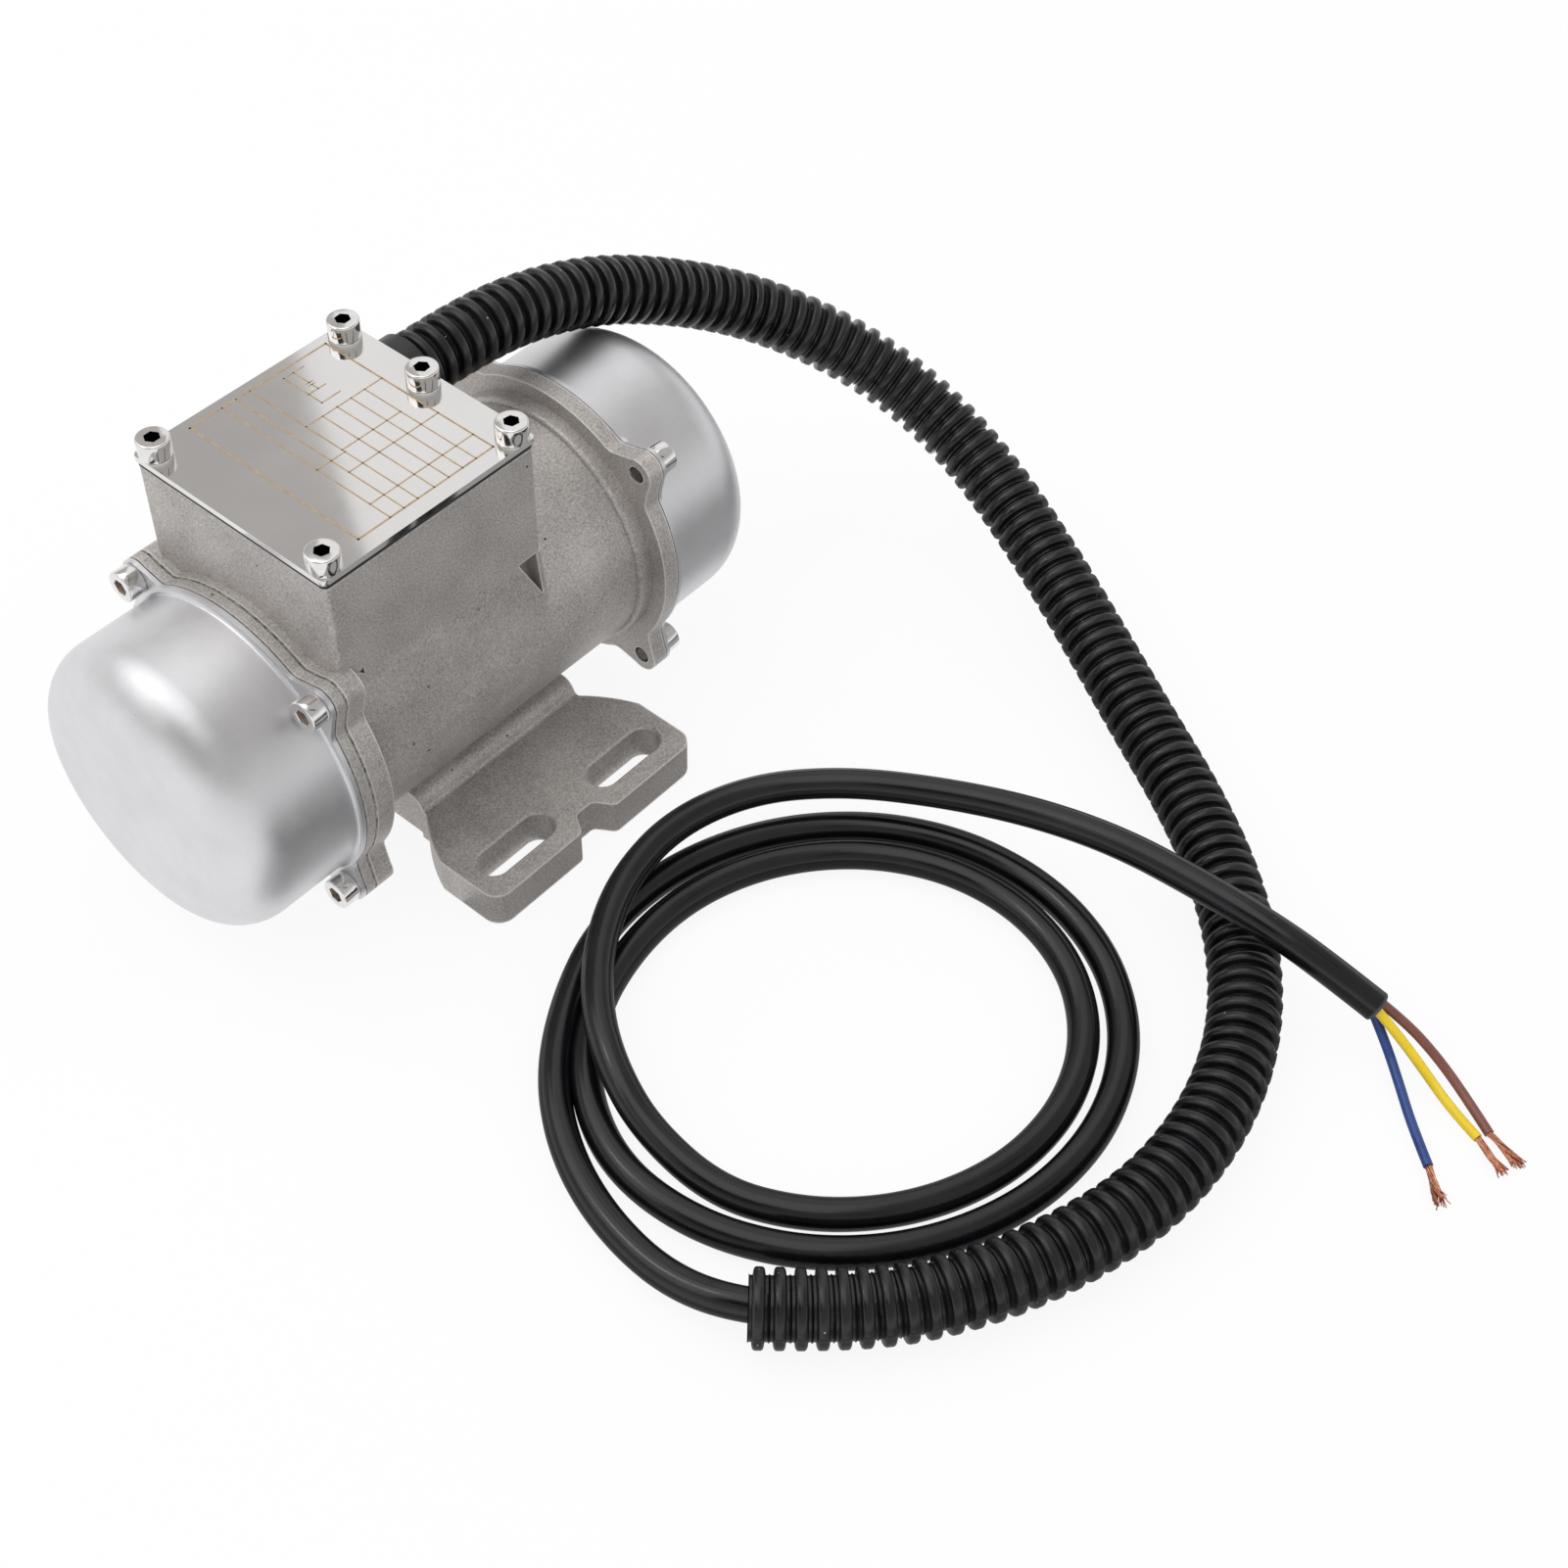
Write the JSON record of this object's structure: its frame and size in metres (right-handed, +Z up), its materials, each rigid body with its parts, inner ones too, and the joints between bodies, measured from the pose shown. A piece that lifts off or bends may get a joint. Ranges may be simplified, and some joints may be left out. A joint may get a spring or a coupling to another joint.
{
  "type": "vibration motor",
  "caption": "Foot-mounted electric vibration motor with end caps, terminal box, corrugated conduit and a coiled three-core supply cable.",
  "frame": {"origin": "centre of the foot bolt pattern, on the underside of the feet", "axes": "+X along the motor axis towards the rear cap and the conduit, +Z up, +Y away from the coiled cable"},
  "size_m": [0.2629, 0.3633, 0.1199],
  "materials": {
    "cast_stainless": "fine blasted investment casting",
    "drawn_stainless": "satin deep-drawn stainless sheet",
    "polished_stainless": "mirror polished stainless",
    "screw_steel": "polished stainless",
    "gasket_rubber": "matt black",
    "sealing_compound": "grey sealing compound",
    "bearing_steel": "ground bearing steel",
    "spring_steel": "blued spring steel",
    "machined_steel": "turned steel",
    "core_steel": "laminated electrical steel",
    "cage_aluminium": "cast aluminium",
    "winding_copper": "enamelled copper",
    "bare_copper": "bare stranded copper",
    "plate_steel": "zinc plated sheet",
    "capacitor_case": "black moulded case",
    "terminal_plastic": "white polyamide",
    "black_lead": "black insulated wire",
    "brown_insulation": "brown PVC",
    "yellow_insulation": "yellow PVC",
    "blue_insulation": "blue PVC",
    "connector_plastic": "black polyamide",
    "conduit_plastic": "black corrugated polyamide",
    "cable_sheath": "black PVC sheath"
  },
  "bodies": {
    "root": {"motor_housing": "cast_stainless", "front_end_shield": "cast_stainless", "end_shield_gasket": "gasket_rubber", "front_cap_seal": "sealing_compound", "rear_cap_seal": "sealing_compound", "front_cap": "drawn_stainless", "rear_cap": "drawn_stainless", "front_cap_screws": "screw_steel", "rear_cap_screws": "screw_steel", "front_bearing_outer_ring": "bearing_steel", "rear_bearing_outer_ring": "bearing_steel", "bearing_wave_washer": "spring_steel", "stator_core": "core_steel", "stator_windings": "winding_copper", "lid_gasket": "gasket_rubber", "terminal_box_lid": "polished_stainless", "lid_screws": "screw_steel", "component_plate": "plate_steel", "plate_screws": "screw_steel", "run_capacitor": "capacitor_case", "terminal_block": "terminal_plastic", "terminal_screws": "screw_steel", "earth_screw": "screw_steel", "motor_leads": "black_lead", "supply_leads": "brown_insulation", "earth_lead": "yellow_insulation", "conduit_connector": "connector_plastic", "cable_entry": "cable_sheath", "conduit": "conduit_plastic", "supply_cable": "cable_sheath", "cable_coil": "cable_sheath", "cable_tail": "cable_sheath", "core_brown": "brown_insulation", "core_yellow": "yellow_insulation", "core_blue": "blue_insulation", "copper_ends": "bare_copper"},
    "rotor": {"rotor_shaft": "machined_steel", "rotor_core": "core_steel", "rotor_cage": "cage_aluminium", "front_bearing_inner_ring": "bearing_steel", "rear_bearing_inner_ring": "bearing_steel", "front_fixed_weight": "machined_steel", "rear_fixed_weight": "machined_steel", "weight_keys": "machined_steel", "shaft_circlips": "spring_steel"},
    "front_weight": {"front_adjustable_weight": "machined_steel", "front_clamp_bolt": "screw_steel"},
    "rear_weight": {"rear_adjustable_weight": "machined_steel", "rear_clamp_bolt": "screw_steel"},
    "front_balls": {"front_bearing_balls": "bearing_steel"},
    "rear_balls": {"rear_bearing_balls": "bearing_steel"}
  },
  "joints": [
    {"name": "rotor_spin", "type": "hinge", "parent": "root", "child": "rotor", "pos_m": [0, 0, 0.047], "axis": [1, 0, 0], "continuous": true},
    {"name": "front_weight_set", "type": "hinge", "parent": "rotor", "child": "front_weight", "pos_m": [0, 0, 0.047], "axis": [1, 0, 0], "range_deg": [0, 180]},
    {"name": "rear_weight_set", "type": "hinge", "parent": "rotor", "child": "rear_weight", "pos_m": [0, 0, 0.047], "axis": [1, 0, 0], "range_deg": [0, 180]},
    {"name": "front_ball_orbit", "type": "hinge", "parent": "root", "child": "front_balls", "pos_m": [0, 0, 0.047], "axis": [1, 0, 0], "continuous": true},
    {"name": "rear_ball_orbit", "type": "hinge", "parent": "root", "child": "rear_balls", "pos_m": [0, 0, 0.047], "axis": [1, 0, 0], "continuous": true}
  ],
  "couplings": [
    {"joint": "front_ball_orbit", "follows": "rotor_spin", "ratio": 0.386},
    {"joint": "rear_ball_orbit", "follows": "rotor_spin", "ratio": 0.386}
  ]
}
